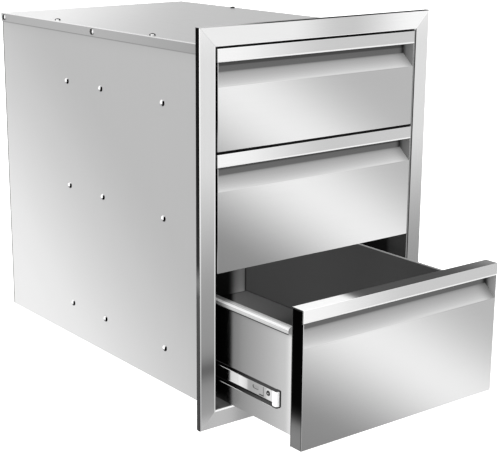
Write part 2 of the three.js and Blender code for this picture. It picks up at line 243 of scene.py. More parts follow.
def loose(bm):
    """A mesh that is only used to cut."""
    bmesh.ops.recalc_face_normals(bm, faces=bm.faces)
    mesh = bpy.data.meshes.new("cutter")
    bm.to_mesh(mesh)
    bm.free()
    o = bpy.data.objects.new("cutter", mesh)
    scene.collection.objects.link(o)
    return o


# ---------------------------------------------------------------- materials
def linear(tone):
    """A display tone from 0 to 1 as a linear value."""
    return tone / 12.92 if tone <= 0.04045 else ((tone + 0.055) / 1.055) ** 2.4


class Nodes:
    """Short names for the nodes that the materials use."""

    def __init__(self, name):
        self.material = bpy.data.materials.new(name)
        self.material.use_nodes = True
        self.tree = self.material.node_tree
        self.bsdf = next(n for n in self.tree.nodes if n.type == "BSDF_PRINCIPLED")
        self.coord = self.tree.nodes.new("ShaderNodeTexCoord").outputs["Object"]

    def link(self, a, b):
        self.tree.links.new(a, b)

    def math(self, op, a, b=None, clamp=False):
        n = self.tree.nodes.new("ShaderNodeMath")
        n.operation, n.use_clamp = op, clamp
        for i, value in enumerate((a, b)):
            if value is None:
                continue
            if isinstance(value, (int, float)):
                n.inputs[i].default_value = value
            else:
                self.link(value, n.inputs[i])
        return n.outputs[0]

    def along(self, direction, origin):
        """Millimetres along a direction from a point of the unit's own corner system."""
        n = self.tree.nodes.new("ShaderNodeVectorMath")
        n.operation = "DOT_PRODUCT"
        self.link(self.coord, n.inputs[0])
        n.inputs[1].default_value = [c * 1000 for c in direction]
        start = row(*origin)
        return self.math("SUBTRACT", n.outputs["Value"], sum(c * 1000 * p for c, p in zip(direction, start)))

    def ramp(self, value, low, high, stops, ease="B_SPLINE"):
        """Stops are (millimetres, tone) between low and high."""
        m = self.tree.nodes.new("ShaderNodeMapRange")
        m.inputs["From Min"].default_value, m.inputs["From Max"].default_value = low, high
        self.link(value, m.inputs["Value"])
        r = self.tree.nodes.new("ShaderNodeValToRGB")
        r.color_ramp.interpolation = ease
        e = r.color_ramp.elements
        while len(e) > 1:
            e.remove(e[-1])
        for i, (at, tone) in enumerate(stops):
            place = (at - low) / (high - low)
            el = e[0] if i == 0 else e.new(place)
            el.position = place
            el.color = (linear(tone),) * 3 + (1,)
        self.link(m.outputs[0], r.inputs[0])
        return r.outputs[0]

    def multiply(self, a, b, factor=1.0):
        n = self.tree.nodes.new("ShaderNodeMix")
        n.data_type, n.blend_type = "RGBA", "MULTIPLY"
        n.inputs["Factor"].default_value = factor
        for socket, value in ((n.inputs[6], a), (n.inputs[7], b)):
            if isinstance(value, (tuple, list)):
                socket.default_value = value
            else:
                self.link(value, socket)
        return n.outputs[2]

    def noise(self, scale, detail=2.0, roughness=0.5):
        """Noise with its own scale along each axis, in cycles per metre."""
        m = self.tree.nodes.new("ShaderNodeMapping")
        m.inputs["Scale"].default_value = scale
        self.link(self.coord, m.inputs["Vector"])
        n = self.tree.nodes.new("ShaderNodeTexNoise")
        n.inputs["Scale"].default_value = 1.0
        n.inputs["Detail"].default_value = detail
        n.inputs["Roughness"].default_value = roughness
        self.link(m.outputs[0], n.inputs["Vector"])
        return n.outputs[0]

    def spread(self, value, low, high):
        """A 0 to 1 value as a number between low and high."""
        m = self.tree.nodes.new("ShaderNodeMapRange")
        m.inputs["From Min"].default_value, m.inputs["From Max"].default_value = 0.3, 0.7
        m.inputs["To Min"].default_value, m.inputs["To Max"].default_value = low, high
        self.link(value, m.inputs["Value"])
        return m.outputs[0]


GRAIN = {  # fine brush lines run along this axis
    "x": (12.0, 900.0, 900.0),
    "y": (900.0, 12.0, 900.0),
    "z": (900.0, 900.0, 12.0),
}


def steel(name, tones=None, flat=0.86, grain="x", rough=(0.16, 0.24), depth=0.00002, tint=(1.0, 1.0, 1.0), metallic=1.0, streaks=0.975, specular=0.5):
    """Stainless sheet: brush lines in its colour, roughness and surface, faint clouding, and slow tone ramps along the
    sheet that paint sheen, reflections, highlights and shade into its colour.
    tones is a list of (direction, origin, low, high, stops) whose values are multiplied."""
    n = Nodes(name)
    n.bsdf.inputs["Metallic"].default_value = metallic
    n.bsdf.inputs["Specular IOR Level"].default_value = specular
    colour = None
    for direction, origin, low, high, stops in tones or []:
        value = n.ramp(n.along(direction, origin), low, high, stops)
        colour = value if colour is None else n.multiply(colour, value)
    lines = n.noise(GRAIN[grain], 3.0, 0.6)
    clouds = n.noise((7.0, 7.0, 7.0), 2.0)
    streak = n.spread(lines, streaks, 1.0)
    cloud = n.spread(clouds, 0.985, 1.0)
    base = [linear(flat) * c for c in tint] + [1]
    shade = n.math("MULTIPLY", streak, cloud)
    if colour is None:
        colour = n.multiply(base, shade)
    else:
        colour = n.multiply(colour, shade)
        if tint != (1.0, 1.0, 1.0):
            colour = n.multiply(colour, list(tint) + [1])
    n.link(colour, n.bsdf.inputs["Base Color"])
    # A dull sheet stays dull at a grazing angle: its edge tint takes back what the Fresnel term adds at 75 degrees.
    grey = n.tree.nodes.new("ShaderNodeRGBToBW")
    n.link(colour, grey.inputs[0])
    lost = n.math("MULTIPLY", n.math("SUBTRACT", 1.0, grey.outputs[0]), 0.2954)
    share = n.math("ADD", n.math("MULTIPLY", grey.outputs[0], 0.5373), 0.4627)
    n.link(n.math("SUBTRACT", 1.0, n.math("DIVIDE", lost, share), clamp=True), n.bsdf.inputs["Specular Tint"])
    r = n.math("ADD", n.spread(lines, rough[0], rough[1]), n.spread(clouds, -0.015, 0.015))
    n.link(r, n.bsdf.inputs["Roughness"])
    bump = n.tree.nodes.new("ShaderNodeBump")
    bump.inputs["Strength"].default_value = 0.35
    bump.inputs["Distance"].default_value = depth
    n.link(lines, bump.inputs["Height"])
    n.link(bump.outputs[0], n.bsdf.inputs["Normal"])
    return n.material


UP, RIGHT, BACK = (0, 0, 1), (1, 0, 0), (0, 1, 0)

OVERHEAD = 1.3  # how much brighter the studio is above than around


def dim(stops, light=OVERHEAD):
    """Stops for a sheet that faces the brighter light overhead."""
    out = []
    for at, tone in stops:
        v = linear(tone) / light
        out.append((at, v * 12.92 if v <= 0.0031308 else 1.055 * v ** (1 / 2.4) - 0.055))
    return out


# Fronts: a painted diagonal sheen across each one, a reflection gradient put into the colour.
SHEEN = [(-150, 0.53), (-100, 0.55), (-62, 0.565), (-30, 0.62), (4, 0.70), (36, 0.775), (68, 0.845), (103, 0.905), (140, 0.94),
         (170, 0.94), (207, 0.915), (242, 0.87), (277, 0.815), (312, 0.77), (350, 0.735), (400, 0.725)]
SHEEN_SHIFT = {"top": -108, "middle": 0, "bottom": -26}
# LIP: painted shade under the bar, lighter towards the fold.
LIP = [(-1, 0.87), (1.5, 0.86), (3.5, 0.815), (7, 0.765), (10.4, 0.72), (14, 0.675), (16, 0.63), (17.4, 0.53)]
# ENDS: a painted dark reflection down the drawer ends, lighter low down.
ENDS = [(0, 0.04), (0.67, 0.05), (0.73, 0.10), (0.78, 0.25), (0.83, 0.48), (0.90, 0.53), (1.0, 0.52)]
# END_BEVEL: a painted highlight on the vertical bends, dimmer low down.
END_BEVEL = [(0, 0.90), (0.3, 0.90), (0.6, 0.78), (0.7, 0.72), (1.0, 0.68)]
# CHEEK: painted shade, darker deeper into the pull's recess.
CHEEK = {"top": [(0, 0.57), (13, 0.57), (16, 0.49), (19, 0.33), (22, 0.24)], "bottom": [(0, 0.67), (10, 0.67), (13, 0.63), (16, 0.38), (19, 0.13), (22, 0.08)]}
CHEEK["middle"] = CHEEK["top"]
# LIP_FAR: painted shade at the lip's right end, next to the cheek.
LIP_FAR = {"top": [(340, 1.0), (352, 1.0), (362, 0.96), (370, 0.86), (377, 0.75)], "bottom": [(340, 1.0), (352, 1.0), (360, 0.95), (368, 0.80), (377, 0.62)]}
LIP_FAR["middle"] = LIP_FAR["top"]
# WALL: a painted reflection gradient on the box walls' outside, darker towards the case.
WALL = [(22, 0.90), (37, 0.90), (40, 0.86), (44, 0.81), (47, 0.80), (66, 0.75), (86, 0.70), (106, 0.655), (126, 0.61), (146, 0.56), (200, 0.55), (560, 0.55)]
# WEB: painted highlights and reflection bands along the slide's web.
WEB = [(60, 0.80), (66, 0.90), (80, 0.90), (84, 0.72), (96, 0.70), (112, 0.66), (121, 0.66), (124, 0.86), (136, 0.94), (160, 0.94), (200, 0.80), (546, 0.80)]
# FLANGE: painted shade on the slide's curled edges, darker towards the rear.
FLANGE = [(60, 0.34), (86, 0.36), (126, 0.22), (156, 0.14), (546, 0.14)]

INSIDE = 0.27   # tone of the box walls on their inner side: painted shade, far darker than the bare steel
CASE_DEEP = 40   # behind this the case's inside is painted dark: painted shade

M = {}
for d_name, d_low, d_high, d_box0, d_box1, d_rail, d_out in DRAWERS:
    tall = d_high - d_low
    M[d_name] = {
        # face: the painted sheen; fold: the same painted sheen, dimmed where it faces the brighter light overhead; lip:
        # painted shade under the bar.
        "face": steel(f"sheen_painted_face_{d_name}", [((1, 0, 1.45), (SHEEN_SHIFT[d_name], 0, d_high - FOLD_DROP), -200, 500, SHEEN)], grain="x", rough=(0.16, 0.22)),
        "fold": steel(f"sheen_painted_fold_{d_name}", [((1, 0, 1.45), (SHEEN_SHIFT[d_name], 0, d_high - FOLD_DROP), -200, 500, dim(SHEEN, 1.1))], grain="x", rough=(0.16, 0.22)),
        "lip": steel(f"shade_painted_lip_{d_name}", [(UP, (0, 0, d_high - FOLD_DROP), -5, 20, dim(LIP)), (RIGHT, (0, 0, 0), 320, 380, LIP_FAR[d_name])], grain="x", rough=(0.16, 0.22)),
        # end: painted dark reflection; bevel: painted highlight on the bends; cheek: painted shade in the recess.
        "end": steel(f"reflection_painted_end_{d_name}", [((0, 0, -1), (0, 0, d_high), 0, tall, [(v * tall, t) for v, t in ENDS])], grain="z", rough=(0.16, 0.22)),
        "bevel": steel(f"highlight_painted_bend_{d_name}", [((0, 0, -1), (0, 0, d_high), 0, tall, [(v * tall, t) for v, t in END_BEVEL])], grain="z", rough=(0.14, 0.20)),
        "cheek": steel(f"pull_cheek_{d_name}", [(BACK, (0, -d_out, 0), 0, 22, CHEEK[d_name])], grain="z", rough=(0.35, 0.45), metallic=0.25),
        # wall: painted reflection along its length, and a painted shade band just under the rolled edge.
        "wall": steel(f"box_wall_{d_name}", [(BACK, (0, -d_out, 0), 0, 560, WALL), (UP, (0, 0, d_box1), -25, 0, [(-25, 1.0), (-19, 1.0), (-15, 0.95), (-12.5, 0.75), (-10.5, 0.60)])],
                      grain="y", rough=(0.17, 0.21)),
        # web and flange: painted highlights and painted shade along the slide.
        "web": steel(f"slide_web_{d_name}", [(BACK, (0, -d_out, 0), 0, 560, WEB)], grain="y", rough=(0.08, 0.12)),
        "flange": steel(f"slide_flange_{d_name}", [(BACK, (0, -d_out, 0), 0, 560, FLANGE)], grain="y", rough=(0.12, 0.18)),
    }
# M_BAR: a painted sheen along the bar, brighter at the left.
M_BAR = steel("sheen_painted_bar", [(RIGHT, (0, 0, 0), 0, 420, [(28, 0.975), (60, 0.97), (86, 0.95), (104, 0.93), (140, 0.88), (176, 0.83), (212, 0.80), (260, 0.795), (380, 0.80)])],
              grain="x", rough=(0.14, 0.20))
# M_BAR_TOP: a painted reflection on the bottom drawer's bar top, bright at the left and dark beyond.
M_BAR_TOP = steel("reflection_painted_bar_top", [(RIGHT, (0, 0, 0), 0, 420, [(28, 0.96), (100, 0.96), (106, 0.92), (112, 0.74), (118, 0.46), (126, 0.28), (140, 0.22), (160, 0.21), (290, 0.20), (310, 0.26), (338, 0.32), (356, 0.40), (374, 0.52)])],
                  grain="x", rough=(0.4, 0.5), metallic=0.15, specular=0.1)
# M_BAR_SHUT: painted gap shade on the middle drawer's bar top.
M_BAR_SHUT = steel("gap_shade_painted_bar_top_middle", flat=0.16, grain="x", rough=(0.4, 0.5), metallic=0.0, specular=0.0)
# undercut: painted shade on the backing under the bar, darker at the right end and in a line just under the bar.
for d_name, d_low, d_high, d_box0, d_box1, d_rail, d_out in DRAWERS:
    M[d_name]["undercut"] = steel(f"undercut_{d_name}", [(RIGHT, (0, 0, 0), 0, 420, [(0, 0.42), (366, 0.42), (371, 0.36), (374, 0.17), (377, 0.14)]),
                                                         (UP, (0, 0, d_high), -40, 0, [(-40, 1.0), (-26.2, 1.0), (-25.4, 0.86), (-24.8, 0.70), (-18, 0.68)])],
                                  grain="x", rough=(0.2, 0.28))
# M_BAR_RIM: a painted highlight along the bar's hemmed lower edge.
M_BAR_RIM = steel("highlight_painted_bar_rim", flat=0.96, grain="x", rough=(0.14, 0.20))
# M_BAR_HIDDEN: near-black painted gap shade on the top drawer's bar top.
M_BAR_HIDDEN = steel("gap_shade_painted_bar_top_upper", flat=0.08, grain="x", rough=(0.4, 0.5), metallic=0.0, specular=0.0)
# STILE: a painted sheen down the stiles, with a painted dark reflection of the bottom drawer low down.
STILE = [(0, 0.76), (12, 0.73), (25, 0.61), (47, 0.59), (66, 0.55), (78, 0.45), (88, 0.38), (97, 0.46), (110, 0.56), (129, 0.585), (170, 0.60), (211, 0.625),
         (252, 0.69), (294, 0.76), (335, 0.83), (370, 0.875), (499, 0.88), (525, 0.905), (546, 0.94)]
M_STILE = steel("frame_stile", [(UP, (0, 0, 0), 0, 560, STILE)], grain="z", rough=(0.15, 0.22))
# M_STILE_EDGE: a painted highlight on the stiles' rounded outer edge.
M_STILE_EDGE = steel("frame_stile_edge", [(UP, (0, 0, 0), 0, 560, [(0, 0.72), (100, 0.72), (200, 0.80), (300, 0.92), (546, 0.95)])], grain="z", rough=(0.12, 0.16))
# M_TOP_RAIL: a painted sheen along the top rail.
M_TOP_RAIL = steel("frame_top", [(RIGHT, (0, 0, 0), 0, 406, [(0, 0.94), (152, 0.94), (173, 0.91), (193, 0.87), (213, 0.825), (233, 0.80), (260, 0.79), (276, 0.81), (296, 0.85),
                                                             (315, 0.89), (335, 0.935), (355, 0.97), (376, 0.985), (406, 0.985)])], grain="x", rough=(0.15, 0.22))
# M_BOTTOM_RAIL: a painted sheen, with painted shade near the bottom drawer.
M_BOTTOM_RAIL = steel("frame_bottom", [(RIGHT, (0, 0, 0), 0, 406, [(0, 0.72), (30, 0.75), (52, 0.73), (68, 0.63), (92, 0.60), (200, 0.66), (320, 0.78), (406, 0.80)])],
                      grain="x", rough=(0.15, 0.22))
# M_RETURN: a painted dark reflection on the stiles' side returns.
M_RETURN = steel("frame_return", [(UP, (0, 0, 0), 0, 560, [(0, 0.30), (190, 0.32), (202, 0.46), (211, 0.50), (219, 0.44), (236, 0.15), (500, 0.12), (546, 0.08)])],
                 grain="z", rough=(0.14, 0.2))
# M_TOP_RETURN: a painted shade line along the top rail's upper edge, lighter at the left.
M_TOP_RETURN = steel("frame_top_return", [(RIGHT, (0, 0, 0), 0, 406, [(0, 0.74), (60, 0.70), (85, 0.50), (105, 0.20), (125, 0.06), (406, 0.06)])],
                     grain="x", rough=(0.14, 0.2))
# M_STILE_RIM: a painted highlight on the left stile's inner edge.
M_STILE_RIM = steel("frame_stile_rim", [(UP, (0, 0, 0), 0, 560, [(0, 0.84), (110, 0.84), (200, 0.88), (300, 0.93), (546, 0.95)])], grain="z", rough=(0.12, 0.16))
# M_STILE_GAP_SHADE: painted gap shade on the right stile's inner edge.
M_STILE_GAP_SHADE = steel("frame_inner_edge_gap_shade", flat=0.22, grain="z", rough=(0.2, 0.28))
# M_TOP_RIM: a painted highlight on the rails' edges next to the drawers.
M_TOP_RIM = steel("frame_top_rim", flat=0.99, grain="x", rough=(0.12, 0.16))
# M_SIDE: a painted diagonal sheen, and a painted shade line just under the lid's skirt.
M_SIDE = steel("case_side", [((0, 0.6, -0.8), (0, 0, HEIGHT), 0, 800, [(0, 0.763), (290, 0.763), (313, 0.768), (337, 0.778), (361, 0.788), (385, 0.803), (409, 0.818), (433, 0.828), (457, 0.843),
                                                                     (481, 0.858), (505, 0.873), (529, 0.888), (553, 0.903), (577, 0.918), (601, 0.933), (625, 0.943), (649, 0.948), (673, 0.958),
                                                                     (730, 0.968)]),
                             (UP, (0, 0, 0), 480, 520, [(505.4, 1.0), (506.3, 0.84), (507.2, 0.74), (509, 0.72)])],
               grain="z", rough=(0.3, 0.4), streaks=0.985)
# LID_TONE: a painted diagonal sheen across the lid, brighter towards the rear left.
LID_TONE = [(-420, 0.735), (-100, 0.735), (20, 0.758), (45, 0.77), (75, 0.79), (110, 0.83), (150, 0.865), (200, 0.915), (230, 0.935), (400, 0.95)]
M_LID = steel("case_lid", [((-0.8, 0.6, 0), (203, 292, 0), -420, 420, LID_TONE)],
              grain="y", rough=(0.3, 0.4), streaks=0.985)
# M_LID_EDGE: a painted sheen along the lid's side flanges.
M_LID_EDGE = steel("case_lid_edge", [(BACK, (0, 0, 0), 0, 600, [(0, 0.64), (68, 0.67), (200, 0.71), (310, 0.73), (584, 0.73)])], grain="y", rough=(0.28, 0.36), streaks=0.985)
# M_LID_FOLD: a painted highlight along the lid's side folds, brightest at the left.
M_LID_FOLD = steel("case_lid_fold", [(BACK, (0, 0, 0), 0, 600, [(0, 0.86), (150, 0.88), (300, 0.95), (584, 0.98)]), (RIGHT, (0, 0, 0), 0, 406, [(0, 1.0), (150, 1.0), (300, 0.80), (406, 0.80)])],
                   grain="y", rough=(0.2, 0.26), streaks=0.985)
# M_LID_REAR: the lid's painted sheen, dimmed, on the rear fold.
M_LID_REAR = steel("case_lid_rear_fold", [((-0.8, 0.6, 0), (203, 292, 0), -420, 420, dim(LID_TONE, 1.25))], grain="y", rough=(0.3, 0.4), streaks=0.985)
M_CASE = steel("case_sheet", flat=0.8, grain="x", rough=(0.32, 0.42))
# M_CASE_IN: painted shade on the case's inside, near black behind CASE_DEEP and darker on the left.
M_CASE_IN = steel("case_inside", [(BACK, (0, 0, 0), 0, 560, [(0, 0.23), (CASE_DEEP - 4, 0.23), (CASE_DEEP + 4, 0.015), (560, 0.015)]), (RIGHT, (0, 0, 0), 0, 406, [(0, 0.20), (180, 0.20), (226, 1.0), (406, 1.0)])],
                  grain="x", rough=(0.5, 0.6), metallic=0.0, specular=0.05)
# M_CASE_BOTTOM and M_CASE_BACK: near-black painted shade on their inner faces, light outside.
M_CASE_BOTTOM = steel("case_bottom", [(UP, (0, 0, CASE_Z0), 0, 20, [(0, 0.80), (0.3, 0.80), (0.6, 0.03), (20, 0.03)])], grain="x", rough=(0.4, 0.5), metallic=0.0, specular=0.0)
M_CASE_BACK = steel("case_back", [(BACK, (0, DEPTH - 2 * SHEET - GAP, 0), -20, 5, [(-20, 0.05), (0.3, 0.05), (0.6, 0.80), (5, 0.80)])], grain="x", rough=(0.32, 0.42))
# M_FRONT_BEND: bright at the outer bends, with painted gap shade where the sheet shows between frame and drawers.
M_FRONT_BEND = steel("case_front_bend", [(RIGHT, (0, 0, 0), 0, 406, [(0, 0.97), (24.4, 0.97), (25.2, 0.12), (200, 0.12), (378, 0.12), (379.4, 0.44), (380.8, 0.44), (381.8, 0.97), (406, 0.97)])], grain="z", rough=(0.12, 0.18))
ROLL = {  # left tone, left tone near the case (painted shade), right tone; crown and shoulder are painted highlights, edge a painted shade line under the roll
    "side": (0.76, 0.45, 0.76), "top": (0.66, 0.06, 0.55), "inner": (0.85, 0.05, 0.55), "crown": (0.92, 0.80, 0.62), "shoulder": (0.78, 0.32, 0.62), "edge": (0.10, 0.06, 0.10),
}
for d_name, d_low, d_high, d_box0, d_box1, d_rail, d_out in DRAWERS:
    standing_open = d_name == "bottom"   # only the open bottom drawer gets the painted shade of the case's dark inside
    for part, (tone, far, other) in ROLL.items():
        far = far if standing_open else tone
        M[d_name][f"roll {part} left"] = steel(f"box_roll_{part}_{d_name}_left", [(BACK, (0, -d_out, 0), 0, 560, [(0, tone), (150, tone), (160, (tone + far) / 2), (172, far), (560, far)])],
                                               grain="y", rough=(0.25, 0.35), metallic=0.5, specular=0.2)
        M[d_name][f"roll {part} right"] = steel(f"box_roll_{part}_{d_name}_right", flat=other, grain="y", rough=(0.25, 0.35), metallic=0.5, specular=0.2)
    # inside: painted shade, with a darker line along the bottom corner and darker towards the back.
    M[d_name]["inside"] = steel(f"box_inside_{d_name}", [(UP, (0, 0, d_box0), 0, 150, [(0, 0.6 * INSIDE), (2.0, 0.6 * INSIDE), (3.2, INSIDE), (150, INSIDE)]),
                                                         (BACK, (0, -d_out, 0), 0, 560, [(0, 1.10), (200, 1.08), (300, 1.03), (400, 0.98), (507, 0.90), (546, 0.88)])],
                                grain="x", rough=(0.35, 0.45), metallic=0.0, specular=0.05)
    # floor: painted shade along its edges and at the rear, and on the open bottom drawer a painted shadow wedge in the
    # rear left corner.
    M[d_name]["floor"] = steel(f"box_floor_{d_name}", [(RIGHT, (0, 0, 0), 0, 406, [(0, 0.62), (42.2, 0.62), (43.4, 1.0), (WIDTH - 43.4, 1.0), (WIDTH - 42.2, 0.62), (WIDTH, 0.62)]),
                                                       (BACK, (0, -d_out, 0), 0, 560, [(0, 0.45), (371, 0.38), (404, 0.59), (444, 0.62), (482, 0.65), (540, 0.66), (543, 0.4), (560, 0.4)]),
                                                       ((-0.797, 0.604, 0), (330, 542 - d_out, 0), -100, 100, [(-100, 0.74), (-8.5, 0.72), (-3.4, 0.48), (-1.5, 0.26), (1, 0.04), (100, 0.02)] if standing_open else [(-100, 0.72), (100, 0.72)])],
                               grain="y", rough=(0.35, 0.45), metallic=0.0, specular=0.0)
    # back: painted shade, darker at its corners and along its bottom edge; on the open bottom drawer near black across
    # the middle and lighter near the ends.
    M[d_name]["back"] = steel(f"box_back_{d_name}", [(RIGHT, (0, 0, 0), 0, 406, [(40, 0.34), (70, 0.34), (90, 0.22), (105, 0.05), (324, 0.02), (330, 0.06), (336, 0.28), (342, 0.43), (350, 0.50), (361.0, 0.53), (362.4, 0.10), (364.3, 0.10)]
                                                      if standing_open else [(40, 0.12), (42.5, 0.35), (362.5, 0.37), (364.3, 0.12)]),
                                                     (UP, (0, 0, d_box0), 0, 150, [(0, 0.75), (2.0, 0.75), (3.2, 1.0), (150, 1.0)])],
                              grain="x", rough=(0.35, 0.45), metallic=0.0, specular=0.05)
M_RAIL = steel("slide_zinc", flat=0.88, grain="y", rough=(0.14, 0.24))
M_RAIL_NOSE = steel("slide_nose", flat=0.95, grain="z", rough=(0.3, 0.4), metallic=0.15, specular=0.2)
M_RAIL_DARK = steel("slide_shade", flat=0.16, grain="z", rough=(0.3, 0.4), metallic=0.3, specular=0.2)
M_CAGE = steel("cage_steel", flat=0.7, grain="y", rough=(0.25, 0.35))
M_BALL = steel("ball_steel", flat=0.92, grain="y", rough=(0.05, 0.08), depth=0.000002)
M_RIVET = steel("rivet_steel", flat=0.95, grain="z", rough=(0.08, 0.14), depth=0.000004)
# M_RIVET_RIM: a painted shadow ring for rivet rims.
M_RIVET_RIM = steel("rivet_rim", flat=0.34, grain="z", rough=(0.2, 0.3), depth=0.000004)
M_RIVET_PLAIN = steel("rivet_plain", flat=0.74, grain="z", rough=(0.2, 0.3), depth=0.000004)
# M_RIVET_DARK: a painted black shade spot on rivet heads.
M_RIVET_DARK = steel("rivet_dark", flat=0.05, grain="z", rough=(0.2, 0.3), depth=0.000004)
M_RIVET_SHADE = steel("rivet_shade", flat=0.28, grain="z", rough=(0.2, 0.3), depth=0.000004)
# M_RIVET_BRIGHT: a painted highlight on rivet heads and screws.
M_RIVET_BRIGHT = steel("rivet_bright", flat=0.96, grain="z", rough=(0.3, 0.4), depth=0.000004, metallic=0.3)


def paint(piece, rules):
    """Gives faces a material of their own. Each rule is (material, test); a test gets a face's middle and its normal, in millimetres of the unit's
    corner system, as if the piece were on the left side."""
    slots = []
    for material, test in rules:
        piece.data.materials.append(material)
        slots.append(len(piece.data.materials) - 1)
    for f in piece.data.polygons:
        c = Vector((f.center.x * 1000 + OX, f.center.y * 1000 + OY, f.center.z * 1000 + OZ))
        n = f.normal.copy()
        if c.x > OX:
            c.x, n.x = WIDTH - c.x, -n.x
        for slot, (material, test) in zip(slots, rules):
            if test(c, n):
                f.material_index = slot
                break
    return piece


# -------------------------------------------------------------- case pieces
SEAT = 9.5
FRAME_SECTION = fillet([
    (0, 0, 2.2), (FRAME_FACE - 2.1, 0, 0), (FRAME_FACE, 0, 0.9), (FRAME_FACE, FRAME_SHEET, 0.2), (FRAME_SHEET, FRAME_SHEET, 0.8),
    (FRAME_SHEET, FRAME_DEPTH - FRAME_SHEET, 0.6), (SEAT, FRAME_DEPTH - FRAME_SHEET, 0), (SEAT, FRAME_DEPTH, 0), (0, FRAME_DEPTH, 1.3),
], 6)
SEAM = GAP * math.sqrt(0.5)


def frame_piece(name, node, kind, material):
    bm = bmesh.new()
    if kind in ("left", "right"):
        section = [(u, v) for u, v in FRAME_SECTION]
        prism(bm, section, "z", lambda u, v: u + SEAM, lambda u, v: HEIGHT - u - SEAM)
        mirror = kind == "right"
    else:
        top = kind == "top"
        section = [(v, HEIGHT - u if top else u) for u, v in FRAME_SECTION]
        off = (lambda y, z: HEIGHT - z) if top else (lambda y, z: z)
        prism(bm, section, "x", lambda y, z: off(y, z) + SEAM, lambda y, z: WIDTH - off(y, z) - SEAM)
        mirror = False
    piece = finish_mesh(name, bm, material, "case", [node], mirror=mirror)
    if kind in ("left", "right"):
        # The frame's returns, edges and rims get painted highlights, painted reflection and painted shade.
        inner = (M_STILE_RIM, lambda c, n: c.x > FRAME_FACE - 2 and n.y < -0.1) if kind == "left" else (M_STILE_GAP_SHADE, lambda c, n: c.x > FRAME_FACE - 1 and n.x > 0.15)
        return paint(piece, [
            (M_RETURN, lambda c, n: n.x < -0.8 and c.x < 1),
            (M_STILE_EDGE, lambda c, n: n.x < -0.2 and n.y < -0.1 and c.x < 3),
            inner,
        ])
    if kind == "top":
        return paint(piece, [
            (M_TOP_RETURN, lambda c, n: n.z > 0.5 and c.z > HEIGHT - 3),
            (M_TOP_RIM, lambda c, n: n.z < -0.15 and n.y < -0.1 and c.z < HEIGHT - 24.3),
        ])
    return paint(piece, [
        (M_TOP_RETURN, lambda c, n: n.z < -0.8 and c.z < 1),
        (M_TOP_RIM, lambda c, n: n.z > -0.1 and n.y < -0.1 and c.z > FRAME_FACE - 2),
    ])


frame_piece("trim_left", "frame_left_stile", "left", M_STILE)
frame_piece("trim_right", "frame_right_stile", "right", M_STILE)
frame_piece("trim_top", "frame_top_rail", "top", M_TOP_RAIL)
frame_piece("trim_bottom", "frame_bottom_rail", "bottom", M_BOTTOM_RAIL)

FLANGE_Y0 = FRAME_SHEET + GAP
FLANGE_Y1 = FLANGE_Y0 + SHEET
SIDE_TOP = CASE_Z1 - SHEET - GAP
BACK_Y0 = DEPTH - 2 * SHEET - GAP
BACK_Y1 = BACK_Y0 + SHEET
SIDE_REAR = BACK_Y0 - GAP
EDGE_X = CASE_X0 - GAP - SHEET

for hand, mirror in (("left", False), ("right", True)):
    bm = bmesh.new()
    plan = fillet([
        (10.2, FLANGE_Y0, 0), (CASE_X0 + SHEET, FLANGE_Y0, 1.6), (CASE_X0 + SHEET, SIDE_REAR - SHEET, 0.6),
        (40, SIDE_REAR - SHEET, 0), (40, SIDE_REAR, 0), (CASE_X0, SIDE_REAR, 1.6), (CASE_X0, FLANGE_Y1, 0.6), (10.2, FLANGE_Y1, 0),
    ], 5)
    prism(bm, plan, "z", CASE_Z0, SIDE_TOP - 0.02)
    # The front bend gets painted gap shade, the inner face painted shade.
    paint(finish_mesh(f"side_sheet_{hand}", bm, M_SIDE, "case", [f"case_{hand}_side"], mirror=mirror), [
        (M_FRONT_BEND, lambda c, n: n.y < -0.1 and c.y < 5),
        (M_CASE_IN, lambda c, n: n.x > 0.7),
    ])
    bm = bmesh.new()
    block(bm, CASE_X0 + 1.02, 44, 12, 560, SIDE_TOP - SHEET, SIDE_TOP - 0.05)
    finish_mesh(f"side_flange_{hand}", bm, M_CASE, "case", mirror=mirror)

# Lid: its sides, rear and front edges are bends of the same sheet.
bm = bmesh.new()
skirt = CASE_Z1 - LID_FLANGE
across = fillet([
    (EDGE_X, skirt, 0), (EDGE_X, CASE_Z1, 1.7), (EDGE_X + 3.2, CASE_Z1, 0), (WIDTH - EDGE_X - 3.2, CASE_Z1, 0), (WIDTH - EDGE_X, CASE_Z1, 1.7), (WIDTH - EDGE_X, skirt, 0),
    (WIDTH - EDGE_X - SHEET, skirt, 0), (WIDTH - EDGE_X - SHEET, CASE_Z1 - SHEET, 0.7), (EDGE_X + SHEET, CASE_Z1 - SHEET, 0.7), (EDGE_X + SHEET, skirt, 0),
], 6)
prism(bm, across, "y", 4.2, DEPTH - 2.0)
rear = fillet([
    (DEPTH - 2.0, CASE_Z1, 0), (DEPTH, CASE_Z1, 1.7), (DEPTH, skirt, 0), (DEPTH - SHEET, skirt, 0), (DEPTH - SHEET, CASE_Z1 - SHEET, 0.7), (DEPTH - 2.0, CASE_Z1 - SHEET, 0),
], 6)
prism(bm, rear, "x", EDGE_X + 0.3, WIDTH - EDGE_X - 0.3)
riser = fillet([
    (4.2, CASE_Z1, 0), (4.2, CASE_Z1 - SHEET, 0), (FLANGE_Y0 + 0.05, CASE_Z1 - SHEET, 1.3), (FLANGE_Y0 + 0.05, CASE_Z1 + 15, 0), (FLANGE_Y1, CASE_Z1 + 15, 0), (FLANGE_Y1, CASE_Z1, 0.5),
], 4)
prism(bm, riser, "x", EDGE_X + 0.5, WIDTH - EDGE_X - 0.5)
